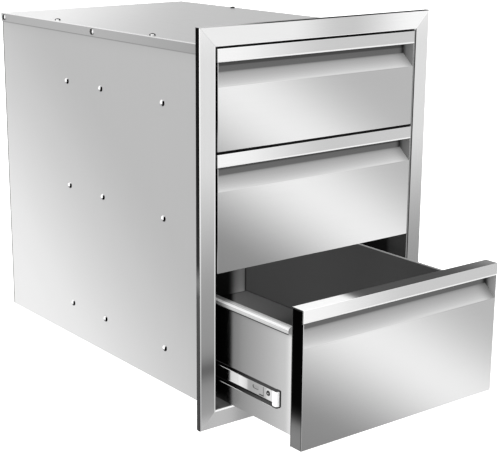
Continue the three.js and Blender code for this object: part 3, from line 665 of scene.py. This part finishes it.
# The lid's front bend gets painted gap shade, its folds painted highlights, its top and flanges painted sheen.
paint(finish_mesh("lid_sheet", bm, M_LID, "case", ["case_lid"]), [
    (M_FRONT_BEND, lambda c, n: c.y < 4.5 and n.z < 0.5 and n.y < 0.5),
    (M_CASE, lambda c, n: n.z < -0.7 or n.x > 0.7),
    (M_LID_EDGE, lambda c, n: n.x < -0.9 or n.y > 0.9),
    (M_LID_REAR, lambda c, n: n.y > 0.08),
    (M_LID_FOLD, lambda c, n: (n.z > 0.9 and c.x < EDGE_X + 3.2) or (n.z > 0.08 and n.x < -0.08)),
])

# -------------------------------------------------------------------- rivets
HEAD_R, HEAD_H = 4.5, 2.6


def dome(r, h, steps=7):
    """A low dome with a rolled rim, from its rim to its top."""
    rim = [(r * 0.97, 0.0), (r, 0.16 * h), (r * 0.985, 0.27 * h)]
    return rim + [(r * 0.985 * math.cos(a), 0.27 * h + 0.73 * h * math.sin(a)) for a in (math.pi / 2 * k / steps for k in range(1, steps))] + [(0, h)]


def rivet(bm, at, axis, grip, tail=0.0, size=(HEAD_R, HEAD_H)):
    foot = [(0, -grip - 1.4), (tail * 0.85, -grip - 1.4), (tail, -grip - 0.9), (tail, -grip), (2.1, -grip)] if tail else [(0, -grip), (2.1, -grip)]
    turned(bm, foot + [(2.1, -0.02), (size[0] * 0.97, -0.02)] + dome(*size), at, axis, 28)


for hand, mirror in (("left", False), ("right", True)):
    for end, y in zip(("front", "rear"), LID_TOP_RIVET_Y):
        bm = bmesh.new()
        rivet(bm, (LID_TOP_RIVET_X, y, CASE_Z1 + 0.05), (0, 0, 1), 2.9, 3.2)
        # Faces turned towards the front left get a painted highlight, the rest painted shade.
        paint(finish_mesh(f"dome_rivet_top_{hand}_{end}", bm, M_RIVET, "case", [f"lid_top_rivet_{hand}_{end}"], mirror=mirror),
              [(M_RIVET_BRIGHT, lambda c, n: n.z < 0.66 and (n.x * 0.585 + n.y * 0.811) < -0.86 * math.hypot(n.x, n.y)), (M_RIVET_SHADE, lambda c, n: True)])
    for end, y in zip(("front", "rear"), LID_EDGE_RIVET_Y):
        bm = bmesh.new()
        rivet(bm, (EDGE_X - 0.05, y, LID_EDGE_RIVET_Z), (-1, 0, 0), 2.9, 3.2)
        # Faces turned to the front get a painted highlight, some of the rest painted shade.
        paint(finish_mesh(f"dome_rivet_edge_{hand}_{end}", bm, M_RIVET, "case", [f"lid_edge_rivet_{hand}_{end}"], mirror=mirror),
              [(M_RIVET_BRIGHT, lambda c, n: n.y < -0.55 and n.z > -0.5), (M_RIVET_SHADE, lambda c, n: n.y < 0.2), (M_RIVET_PLAIN, lambda c, n: True)])

# -------------------------------------------------------------------- slides
CAB_X0 = CASE_X0 + SHEET + GAP
DRW_X1 = BOX_X0 - GAP


def race_section(x_back, x_open, z, h, t, dip):
    """A channel whose two edges are rolled around the balls. x_back is the web's outer side, x_open the channel's open side."""
    s = 1 if x_open > x_back else -1
    return fillet([
        (x_back, z - h, 1.5), (x_open, z - h, 1.2), (x_open, z - h + dip, 0.3), (x_open - s * t, z - h + dip, 0), (x_open - s * t, z - h + t, 0.5),
        (x_back + s * t, z - h + t, 1.0), (x_back + s * t, z + h - t, 1.0), (x_open - s * t, z + h - t, 0.5),
        (x_open - s * t, z + h - dip, 0), (x_open, z + h - dip, 0.3), (x_open, z + h, 1.2), (x_back, z + h, 1.5),
    ], 4)


def cabinet_rail(name, z, hand, mirror):
    bm = bmesh.new()
    prism(bm, race_section(CAB_X0, CAB_X0 + 9.5, z, RAIL_OUTER / 2, RAIL_SHEET, 2.4), "y", RAIL_FRONT, RAIL_FRONT + RAIL_LENGTH)
    for y in RIVET_Y:
        rivet(bm, (CASE_X0 - 0.05, y, z), (-1, 0, 0), 2.2, size=(4.7, 3.1))
        turned(bm, [(0, -0.2), (3.6, -0.2), (3.6, 0.15), (3.2, 0.35), (0, 0.35)], (CAB_X0 + RAIL_SHEET, y, z), (1, 0, 0))
    piece = finish_mesh(f"{name}_outer_channel_{hand}", bm, M_RAIL, "case", [f"{name}_cabinet_rail_{hand}"], mirror=mirror)
    # Rivet heads: painted black shade on faces turned to the front, a painted highlight on the upper left faces.
    paint(piece, [
        (M_RIVET_DARK, lambda c, n: c.x < CASE_X0 and n.y < -0.36 and abs(n.z) < 0.76),
        (M_RIVET_BRIGHT, lambda c, n: c.x < CASE_X0 and n.x < -0.2 and n.z > -0.08),
        (M_RIVET_PLAIN, lambda c, n: c.x < CASE_X0 and n.x < -0.2),
        (M_RIVET, lambda c, n: c.x < CASE_X0 + 0.05),
    ])
    return piece


def ball_cage(name, z, hand, mirror):
    bm = bmesh.new()
    x0 = CAB_X0 + RAIL_SHEET + 0.5
    x1 = x0 + 0.9
    section = fillet([
        (x0, z - 15.2, 0.9), (x1 + 5.1, z - 15.2, 0), (x1 + 5.1, z - 14.3, 0), (x1, z - 14.3, 0.5), (x1, z + 14.3, 0.5), (x1 + 5.1, z + 14.3, 0), (x1 + 5.1, z + 15.2, 0), (x0, z + 15.2, 0.9),
    ], 3)
    prism(bm, section, "y", CAGE_FRONT, CAGE_FRONT + CAGE_LENGTH)
    piece = finish_mesh(f"{name}_ball_strip_{hand}", bm, M_CAGE, f"{name}_ball_cages", [f"{name}_ball_cage_{hand}"], mirror=mirror)
    bm = bmesh.new()
    count = 15
    for k in range(count):
        y = CAGE_FRONT + 8 + k * (CAGE_LENGTH - 16) / (count - 1)
        for side in (-1, 1):
            ball(bm, (x1 + 3.0, y, z + side * 13.95), 2.1)
    finish_mesh(f"{name}_balls_{hand}", bm, M_BALL, f"{name}_ball_cages", mirror=mirror)
    return piece


def drawer_rail(name, z, hand, mirror):
    h = RAIL_INNER / 2
    x0 = DRW_X1 - 9.2
    y0, y1 = RAIL_FRONT, RAIL_FRONT + RAIL_LENGTH
    bm = bmesh.new()
    # The channel, open outwards. Its edges curl round the balls.
    section = fillet([
        (DRW_X1, z - h + 1.0, 1.2), (DRW_X1 - 2.4, z - h, 1.6), (x0, z - h, 0.5), (x0, z - h + 1.1, 0.3), (DRW_X1 - 3.2, z - h + RAIL_SHEET, 1.0),
        (DRW_X1 - RAIL_SHEET, z - h + 2.4, 0.9), (DRW_X1 - RAIL_SHEET, z + h - 2.4, 0.9), (DRW_X1 - 3.2, z + h - RAIL_SHEET, 1.0),
        (x0, z + h - 1.1, 0.3), (x0, z + h, 0.5), (DRW_X1 - 2.4, z + h, 1.6), (DRW_X1, z + h - 1.0, 1.2),
    ], 4)
    prism(bm, section, "y", y0 + 8, y1)
    made = finish_mesh(f"{name}_inner_channel_{hand}", bm, M[name]["web"], f"{name}_drawer", [f"{name}_drawer_rail_{hand}"])
    # The release slot in the web.
    cut = bmesh.new()
    slot = fillet([(98, z - 2.6, 2.5), (111, z - 2.6, 2.5), (111, z + 2.6, 2.5), (98, z + 2.6, 2.5)], 5)
    prism(cut, slot, "x", DRW_X1 - 3, DRW_X1 + 2)
    boolean(made, loose(cut))
    bm = bmesh.new()
    bm.from_mesh(made.data)
    # The rounded nose that closes the channel's front.
    nose = fillet([(x0, y0 + 8.3, 0), (x0, y0, 3.2), (DRW_X1 - 4.2, y0, 0), (DRW_X1 - 0.05, y0, 2.0), (DRW_X1 - 0.05, y0 + 8.3, 0)], 6)
    zs = [(-h - 0.0, 0.9), (-h + 0.5, 0.35), (-h + 1.4, 0.0), (-h + 2.6, 0.0), (h - 1.4, 0.0), (h - 0.5, 0.35), (h + 0.0, 0.9)]
    rings = []
    cx, cy = (x0 + DRW_X1) / 2, y0 + 8.3
    for dz, inset in zs:
        rings.append([bm.verts.new(row(cx + (x - cx) * (1 - inset / 4.6), cy + (y - cy) * (1 - inset / 8.3), z + dz)) for x, y in nose])
    k = len(nose)
    for a, b in zip(rings, rings[1:]):
        for i in range(k):
            bm.faces.new((a[i], a[(i + 1) % k], b[(i + 1) % k], b[i]))
    bm.faces.new(rings[0])
    bm.faces.new(rings[-1])
    # Screws through the web into the box wall, and the release lever's edge.
    for y in STUD_Y:
        turned(bm, [(0, -0.3), (3.7, -0.3), (3.7, 0.35), (3.3, 0.9), (2.2, 1.25), (1.35, 1.35), (1.2, 0.6), (0, 0.6)], (DRW_X1 - RAIL_SHEET, y, z), (-1, 0, 0))
        turned(bm, [(0, -0.5), (2.1, -0.5), (2.1, GAP + SHEET - 0.3), (0, GAP + SHEET - 0.3)], (DRW_X1, y, z), (1, 0, 0))
    for part in ((87.0, 87.9, -7.6, 7.6), (87.0, 97.0, -7.6, -6.7)):
        ya, yb, za, zb = part
        section = fillet([(ya, z + za, 0.3), (yb, z + za, 0.3), (yb, z + zb, 0.3), (ya, z + zb, 0.3)], 2)
        prism(bm, section, "x", DRW_X1 - RAIL_SHEET - 0.9, DRW_X1 - RAIL_SHEET + 0.2)
    if mirror:
        bmesh.ops.scale(bm, verts=bm.verts, vec=(-1, 1, 1))
    bmesh.ops.recalc_face_normals(bm, faces=bm.faces)
    bm.to_mesh(made.data)
    bm.free()
    made.data.shade_smooth()
    made.data.set_sharp_from_angle(angle=math.radians(32))
    # Painted shade on the nose's edge, the lever's outline, the slot and round the screws; a painted highlight on the
    # screw heads.
    return paint(made, [
        (M_RAIL_DARK, lambda c, n: c.y < y0 + 3 and c.x > DRW_X1 - 4.2 and n.y < -0.1),
        (M[name]["flange"], lambda c, n: abs(n.z) > 0.5),
        (M_RAIL_DARK, lambda c, n: c.y < y0 + 8.35 and c.z < z - h + 2.5),
        (M_RAIL_NOSE, lambda c, n: c.y < y0 + 8.35),
        (M_RAIL_DARK, lambda c, n: 86.5 < c.y < 97.3 and c.x < DRW_X1 - RAIL_SHEET - 0.3 and 6 < abs(c.z - z) + (6 if c.y < 88.2 else 0) and abs(c.z - z) < 8.5),
        (M_RAIL_DARK, lambda c, n: 97.6 < c.y < 111.4 and abs(c.z - z) < 3.2 and abs(n.x) < 0.5),
        (M_RIVET_BRIGHT, lambda c, n: min(math.hypot(c.y - y, c.z - z) for y in STUD_Y) < 1.25 and c.x < DRW_X1 - RAIL_SHEET - 0.05),
        (M_RAIL_DARK, lambda c, n: min(abs(c.y - y) for y in STUD_Y) < 4.2 and c.x < DRW_X1 - RAIL_SHEET - 0.05 and abs(c.z - z) < 4.2),
    ])


# ------------------------------------------------------------------- drawers
def front_panel(name, z0, z1):
    """Face, lip, lower return and ends of one sheet. Its outer bends are rounded, and the fold of the pull too."""
    s, fold, slope = FRONT_SHEET, z1 - FOLD_DROP, LIP_RISE / LIP_RUN
    top = z1 - s - GAP
    bm = bmesh.new()
    outside = [(0, z0), (LIP_RUN, z0), (LIP_RUN, top), (s + GAP + 0.1, top), (s + GAP + 0.1, z1 - BAR_HEIGHT - GAP), (0, z1 - BAR_HEIGHT - GAP)]
    prism(bm, outside, "x", FRONT_X0, FRONT_X1)
    bmesh.ops.recalc_face_normals(bm, faces=bm.faces)
    bmesh.ops.dissolve_limit(bm, angle_limit=0.01, verts=bm.verts, edges=bm.edges)
    front_y = row(0, 0, 0).y
    low_z = row(0, 0, z0).z
    side_x = abs(row(FRONT_X0, 0, 0).x)
    edges = []
    for e in bm.edges:
        a, b = e.verts[0].co, e.verts[1].co
        both = lambda f: f(a) and f(b)
        at_front = both(lambda c: abs(c.y - front_y) < 1e-5)
        at_low = both(lambda c: abs(c.z - low_z) < 1e-5)
        at_side = both(lambda c: abs(abs(c.x) - side_x) < 1e-5)
        if (at_front and at_low) or (at_front and at_side) or (at_low and at_side):
            edges.append(e)
    bmesh.ops.bevel(bm, geom=edges, offset=0.0014, segments=5, profile=0.5, affect="EDGES", clamp_overlap=True)
    piece = finish_mesh(f"{name}_front_sheet", bm, M[name]["face"], f"{name}_drawer", [f"{name}_front_panel"])
    x0, x1 = FRONT_X0 + s, FRONT_X1 - s
    t = 0.8   # the fold's rounding, measured along each side of it
    cos = 1 / math.hypot(1, slope)
    sin = slope * cos
    curve = []
    a, b, c = Vector((0, fold - t)), Vector((0, fold)), Vector((t * cos, fold + t * sin))
    for k in range(7):
        w = k / 6
        p = a * (1 - w) ** 2 + b * 2 * w * (1 - w) + c * w * w
        curve.append((p.x, p.y))
    cut = bmesh.new()
    prism(cut, [(-5, fold - t)] + curve + [(LIP_RUN + 5, fold + (LIP_RUN + 5) * slope), (LIP_RUN + 5, z1 + 5), (-5, z1 + 5)], "x", x0, x1)
    boolean(piece, loose(cut))
    cut = bmesh.new()
    under = 1.6
    prism(cut, [(s, z0 + s), (LIP_RUN + 5, z0 + s), (LIP_RUN + 5, fold + (LIP_RUN + 5) * slope - under), (s, fold + s * slope - under)], "x", x0, x1)
    boolean(piece, loose(cut))
    piece.data.shade_smooth()
    piece.data.set_sharp_from_angle(angle=math.radians(32))
    # Painted light on the sheet: dark reflection on the ends, shade on the cheeks and the lip, highlights on the bends,
    # sheen on the fold.
    return paint(piece, [
        (M[name]["end"], lambda c, n: n.x < -0.7 and c.x < FRONT_X0 + 0.5),
        (M[name]["cheek"], lambda c, n: (n.x > 0.7 and c.z > fold - 1) or (n.y < -0.1 and n.z < 0.5 and c.z > fold + 1)),
        (M[name]["bevel"], lambda c, n: n.x < -0.2 and n.y < -0.2),
        (M[name]["fold"], lambda c, n: 0.08 < n.z < 0.72 and n.y < -0.6 and abs(c.z - fold) < 2.5),
        (M[name]["lip"], lambda c, n: n.z > 0.6 and c.z > fold),
    ])


def front_bar(name, z1):
    """The pull's bar: top and front from one sheet, its lower edge hemmed."""
    s = FRONT_SHEET
    low = z1 - BAR_HEIGHT
    clear = s + GAP + 0.1
    bm = bmesh.new()
    section = fillet([
        (0, low, 0.9), (6, low, 0.5), (6, low + s, 0), (s, low + s, 0.3), (s, z1 - s, 0.5), (FRONT_DEPTH, z1 - s, 0), (FRONT_DEPTH, z1, 0.5), (0, z1, 1.3), (0, low + 2.1, 0),
    ], 5)
    prism(bm, section, "x", FRONT_X0 + clear, FRONT_X1 - clear)
    # Over the end plates the bar has no hem.
    end = fillet([
        (0, low, 0.5), (s, low, 0.3), (s, z1 - s, 0.5), (FRONT_DEPTH, z1 - s, 0), (FRONT_DEPTH, z1, 0.5), (0, z1, 1.3), (0, low + 2.1, 0),
    ], 5)
    prism(bm, end, "x", FRONT_X0, FRONT_X0 + clear)
    prism(bm, end, "x", FRONT_X1 - clear, FRONT_X1)
    # Painted dark reflection on the ends, painted reflection or gap shade on the bar's top, a painted highlight on the
    # hem.
    return paint(finish_mesh(f"{name}_pull_bar", bm, M_BAR, f"{name}_drawer", [f"{name}_front_bar"]), [
        (M[name]["end"], lambda c, n: n.x < -0.7),
        ({"top": M_BAR_HIDDEN, "middle": M_BAR_SHUT, "bottom": M_BAR_TOP}[name], lambda c, n: n.z > (0.8 if name == "bottom" else 0.75) and c.z > z1 - 1.3),
        (M_BAR_RIM, lambda c, n: n.y < -0.1 and c.z < low + 2.1),
    ])


def box_wall(name, z0, z1, rail_z, hand, mirror):
    """A box wall whose top edge is rolled outwards."""
    x0 = BOX_X0 - ROLL_OUT
    bm = bmesh.new()
    rolled = fillet([
        (BOX_X0, z0, 0.3), (BOX_X0 + SHEET, z0, 0.3), (BOX_X0 + SHEET, z1, 1.0), (x0, z1, 5.0),
        (x0, z1 - 8.4, 0), (x0, z1 - ROLL_DROP, 0.4), (x0 + 1, z1 - ROLL_DROP, 0.4), (x0 + 1, z1 - 1, 3.8), (BOX_X0, z1 - 1, 2.6),
    ], 7)
    prism(bm, rolled, "y", 32, BOX_REAR)
    plain = fillet([(BOX_X0, z0, 0.3), (BOX_X0 + SHEET, z0, 0.3), (BOX_X0 + SHEET, z1 - 0.4, 0.4), (BOX_X0, z1 - 0.4, 0.4)], 2)
    prism(bm, plain, "y", FRONT_DEPTH + GAP, 32)
    # Painted shade inside the box, and painted highlights and painted shade on the rolled edge.
    return paint(finish_mesh(f"{name}_side_wall_{hand}", bm, M[name]["wall"], f"{name}_drawer", [f"{name}_box_wall_{hand}"], mirror=mirror), [
        (M[name]["inside"], lambda c, n: n.x > 0.7 and c.x > BOX_X0 + 0.5),
        (M[name][f"roll edge {hand}"], lambda c, n: c.x < x0 + 1.2 and c.z < z1 - 8.3),
        (M[name][f"roll inner {hand}"], lambda c, n: n.z > 0.1 and n.x > 0.1),
        (M[name][f"roll top {hand}"], lambda c, n: n.z > 0.97),
        (M[name][f"roll shoulder {hand}"], lambda c, n: n.x < -0.1 and n.z > 0.8 and c.x < BOX_X0),
        (M[name][f"roll crown {hand}"], lambda c, n: n.x < -0.1 and n.z > 0.2 and c.x < BOX_X0),
        (M[name][f"roll side {hand}"], lambda c, n: n.x < -0.9 and c.x < x0 + 0.6),
    ])


for name, z0, z1, box0, box1, rail, out in DRAWERS:
    before = set(bpy.data.objects)
    front_panel(name, z0, z1)
    front_bar(name, z1)
    for hand, mirror in (("left", False), ("right", True)):
        box_wall(name, box0, box1, rail, hand, mirror)
        drawer_rail(name, rail, hand, mirror)
    moved = [o for o in bpy.data.objects if o not in before]
    for o in moved:
        o.data.transform(Matrix.Translation((0, -out / 1000, 0)))
    before = set(bpy.data.objects)
    for hand, mirror in (("left", False), ("right", True)):
        ball_cage(name, rail, hand, mirror)
    for o in [o for o in bpy.data.objects if o not in before]:
        o.data.transform(Matrix.Translation((0, -out / 2000, 0)))
    for hand, mirror in (("left", False), ("right", True)):
        cabinet_rail(name, rail, hand, mirror)

# The plain sheets keep their CAD solids, with eased edges.
for key, material in (
    ("case_bottom", M_CASE_BOTTOM), ("case_back", M_CASE_BACK),
    *((f"{d[0]}_box_floor", M[d[0]]["floor"]) for d in DRAWERS),
    *((f"{d[0]}_box_back", M[d[0]]["back"]) for d in DRAWERS),
    *((f"{d[0]}_front_backing", M[d[0]]["undercut"]) for d in DRAWERS),
):
    o = nodes[key]
    o.data.materials.clear()
    o.data.materials.append(material)
    weld = o.modifiers.new("weld", "WELD")
    weld.merge_threshold = 0.00001
    ease = o.modifiers.new("ease", "BEVEL")
    ease.width, ease.segments, ease.limit_method, ease.angle_limit = 0.0003, 2, "ANGLE", math.radians(40)

# Brushed sheet shows its neighbours only as a faint haze, so the polished sheets leave each other out of their reflections.
for o in list(scene.objects):
    if o.name.startswith(("trim_", "lid_sheet", "side_flange_", "side_sheet_right")) or o.name.endswith(("_front_sheet", "_pull_bar", "_side_wall_left", "_side_wall_right")) or "_channel_" in o.name:
        o.visible_glossy = False
for d in DRAWERS:
    for end in ("box_floor", "box_back", "front_backing"):
        nodes[f"{d[0]}_{end}"].visible_glossy = False
# The boxes' insides are lit evenly: the case around them and the boxes above leave their soft light alone.
for o in list(scene.objects):
    if o.name.startswith(("lid_sheet", "side_sheet_", "side_flange_", "case_", "top_side_wall", "middle_side_wall")) or "_box_" in o.name:
        o.visible_diffuse = False

# ------------------------------------------------------------ floor and light
floor_z = cad_low[2] - 0.0005
bm = bmesh.new()
bmesh.ops.create_grid(bm, x_segments=8, y_segments=8, size=9)
mesh = bpy.data.meshes.new("floor")
bm.to_mesh(mesh)
bm.free()
floor = bpy.data.objects.new("floor", mesh)
scene.collection.objects.link(floor)
floor.location = (0, 1.5, floor_z)
pale = bpy.data.materials.new("pale_floor")
pale.use_nodes = True
t = pale.node_tree
p = next(n for n in t.nodes if n.type == "BSDF_PRINCIPLED")
p.inputs["Base Color"].default_value = (0.9, 0.9, 0.9, 1)
p.inputs["Roughness"].default_value = 0.9
p.inputs["Specular IOR Level"].default_value = 0.0
p.inputs["Emission Color"].default_value = (1, 1, 1, 1)
p.inputs["Emission Strength"].default_value = 0.85
mesh.materials.append(pale)
floor.visible_glossy = False
floor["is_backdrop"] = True

# A white studio: even all round, brighter overhead and at the left, with one dark screen low at the left that gives round things a dark side.
world = bpy.data.worlds.new("studio")
scene.world = world
world.use_nodes = True
wt = world.node_tree
back = next(n for n in wt.nodes if n.type == "BACKGROUND")
back.inputs["Color"].default_value = (1, 1, 1, 1)
towards = wt.nodes.new("ShaderNodeTexCoord").outputs["Generated"]


def lobe(centre, inner, outer, low, high):
    """A number that is high within inner degrees of a direction, and low beyond outer degrees."""
    d = wt.nodes.new("ShaderNodeVectorMath")
    d.operation = "DOT_PRODUCT"
    wt.links.new(towards, d.inputs[0])
    d.inputs[1].default_value = Vector(centre).normalized()
    m = wt.nodes.new("ShaderNodeMapRange")
    m.interpolation_type = "SMOOTHSTEP"
    m.inputs["From Min"].default_value, m.inputs["From Max"].default_value = math.cos(math.radians(outer)), math.cos(math.radians(inner))
    m.inputs["To Min"].default_value, m.inputs["To Max"].default_value = low, high
    wt.links.new(d.outputs["Value"], m.inputs["Value"])
    return m.outputs[0]


def join(op, a, b):
    n = wt.nodes.new("ShaderNodeMath")
    n.operation = op
    wt.links.new(a, n.inputs[0])
    wt.links.new(b, n.inputs[1])
    return n.outputs[0]


light = join("ADD", lobe((0, 0, 1), 46, 60, 1.0, OVERHEAD), lobe((-0.95, -0.3, 0.1), 14, 40, 0.0, 0.5))
light = join("ADD", light, lobe((0.565, 0.256, -0.784), 20, 45, 0.0, 0.25))
light = join("MULTIPLY", light, lobe((-0.69, 0.12, -0.69), 22, 36, 1.0, 0.02))
wt.links.new(light, back.inputs["Strength"])

# -------------------------------------------------------------------- camera
YAW, PITCH, ROLL, FOCAL, PPX = math.radians(-35.81), math.radians(-14.86), math.radians(-0.17), 1275.67, 200.0
forward = Vector((-math.sin(YAW) * math.cos(PITCH), math.cos(YAW) * math.cos(PITCH), math.sin(PITCH)))
right = forward.cross(Vector((0, 0, 1))).normalized()
up = right.cross(forward)
r2 = right * math.cos(ROLL) + up * math.sin(ROLL)
u2 = -right * math.sin(ROLL) + up * math.cos(ROLL)
camera_data = bpy.data.cameras.new("camera")
camera = bpy.data.objects.new("camera", camera_data)
scene.collection.objects.link(camera)
camera.matrix_world = Matrix.Translation(row(-938.37, -1300.67, 714.18)) @ Matrix((r2, u2, -forward)).transposed().to_4x4()
camera_data.sensor_fit = "HORIZONTAL"
camera_data.sensor_width = 36.0
camera_data.lens = FOCAL / 500 * 36
camera_data.shift_x = (250 - PPX) / 500
camera_data.clip_start, camera_data.clip_end = 0.02, 60
scene.camera = camera

scene.view_settings.view_transform = "Standard"
scene.view_settings.look = "None"
